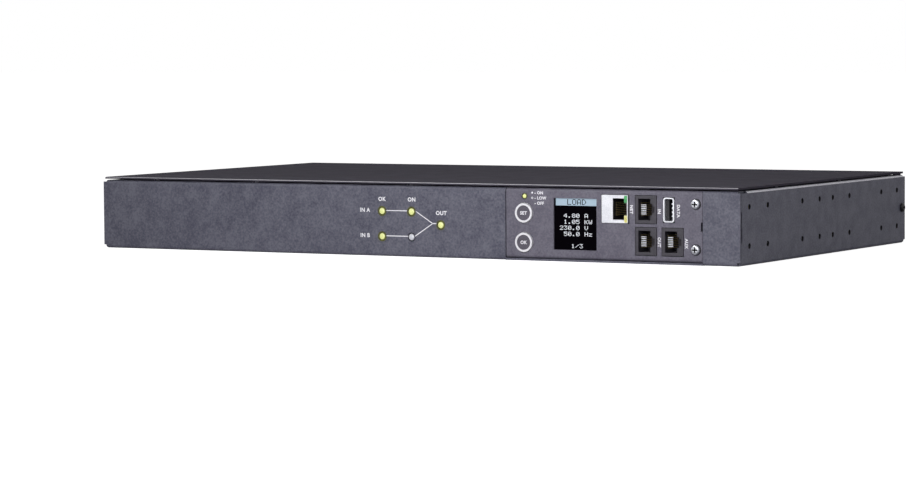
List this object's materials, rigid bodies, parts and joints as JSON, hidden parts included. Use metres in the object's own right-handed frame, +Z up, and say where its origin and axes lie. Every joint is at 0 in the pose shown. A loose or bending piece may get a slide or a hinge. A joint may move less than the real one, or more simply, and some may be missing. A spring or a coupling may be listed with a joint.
{
  "type": "rack static transfer switch",
  "caption": "Shallow one-unit rack box that switches its outlets between two mains sources, with indicator lamps, a plug-in display module and side holes for rack ears.",
  "frame": {"origin": "middle of the underside, on the surface that the body rests on", "axes": "+X to the right seen from the front, +Y from the front face to the rear, +Z up"},
  "size_m": [0.4366, 0.2466, 0.044],
  "materials": {
    "tray_coat": "fine-textured powder coat, dark blue-grey",
    "cover_coat": "fine-textured powder coat, darker top cover",
    "module_coat": "fine-textured powder coat, module plate",
    "black_screw": "black oxide pan-head screws",
    "zinc_screw": "bright zinc-plated steel",
    "lit_lens": "lit yellow-green indicator lens",
    "clear_lens": "unlit clear indicator lens",
    "health_lens": "small lit indicator lens",
    "green_lens": "green light window",
    "yellow_lens": "yellow light window",
    "circuit_board": "green solder mask on glass-epoxy board",
    "display_pane": "black glossy display window",
    "ivory_plastic": "ivory plastic",
    "button_white": "white moulded push button",
    "button_grey": "grey printed button centre",
    "black_plastic": "black moulded plastic",
    "jack_shield": "bright tinned steel shield",
    "gold_contacts": "gold-flashed spring contacts",
    "usb_metal": "nickel-plated steel shell",
    "socket_plastic": "black moulded mains socket",
    "brass_blades": "plated brass",
    "reset_white": "white reset button",
    "extruded_aluminium": "extruded aluminium",
    "blue_plastic": "blue plastic sleeve",
    "copper_winding": "enamelled copper winding",
    "yellow_plastic": "yellow moulded capacitor box",
    "ferrite": "ferrite core with wound bobbin",
    "wire_red": "red-brown wire insulation",
    "wire_dark": "dark wire insulation",
    "ribbon_grey": "grey flat ribbon cable"
  },
  "bodies": {
    "unit": {"chassis_tray": "tray_coat", "top_cover": "cover_coat", "cover_screws": "black_screw", "indicator_board": "circuit_board", "input_a_led": "lit_lens", "input_b_led": "lit_lens", "selected_a_led": "lit_lens", "selected_b_led": "clear_lens", "output_led": "lit_lens", "module_plate": "module_coat", "module_board": "circuit_board", "module_screws": "zinc_screw", "health_led": "health_lens", "lcd_pane": "display_pane", "lcd_module": "ivory_plastic", "tact_switches": "black_plastic", "lan_shield": "jack_shield", "lan_insert": "black_plastic", "link_led": "green_lens", "activity_led": "yellow_lens", "input_jack": "black_plastic", "output_jack": "black_plastic", "sensor_jack": "black_plastic", "jack_contacts": "gold_contacts", "usb_shell": "usb_metal", "usb_tongue": "black_plastic", "module_connector": "black_plastic", "inlet_a": "socket_plastic", "inlet_b": "socket_plastic", "inlet_blades": "brass_blades", "outlet_bank_1": "socket_plastic", "outlet_bank_2": "socket_plastic", "outlet_c19": "socket_plastic", "outlet_contacts": "brass_blades", "breaker_1": "socket_plastic", "breaker_2": "socket_plastic", "earth_stud": "zinc_screw", "power_board": "circuit_board", "logic_board": "circuit_board", "processor": "black_plastic", "heatsink": "extruded_aluminium", "thyristors": "black_plastic", "backfeed_relays": "black_plastic", "current_sensors": "blue_plastic", "chokes": "copper_winding", "filter_capacitors": "yellow_plastic", "supply_transformers": "ferrite", "supply_capacitors": "blue_plastic", "standoffs": "brass_blades", "board_screws": "zinc_screw", "input_wires": "wire_red", "output_wires": "wire_dark", "ribbon_cable": "ribbon_grey", "insulating_sheet": "ivory_plastic"},
    "select_button": {"select_button": "button_white", "select_inlay": "button_grey"},
    "enter_button": {"enter_button": "button_white", "enter_inlay": "button_grey"},
    "breaker_reset_1": {"breaker_reset_1": "reset_white"},
    "breaker_reset_2": {"breaker_reset_2": "reset_white"}
  },
  "joints": [
    {"name": "select_press", "type": "slide", "parent": "unit", "child": "select_button", "axis": [0, 1, 0], "range_m": [0, 0.0006], "stiffness_N_per_m": 800, "springref_m": -0.001},
    {"name": "enter_press", "type": "slide", "parent": "unit", "child": "enter_button", "axis": [0, 1, 0], "range_m": [0, 0.0006], "stiffness_N_per_m": 800, "springref_m": -0.001},
    {"name": "breaker_trip_1", "type": "slide", "parent": "unit", "child": "breaker_reset_1", "axis": [0, 1, 0], "range_m": [0, 0.003]},
    {"name": "breaker_trip_2", "type": "slide", "parent": "unit", "child": "breaker_reset_2", "axis": [0, 1, 0], "range_m": [0, 0.003]}
  ]
}
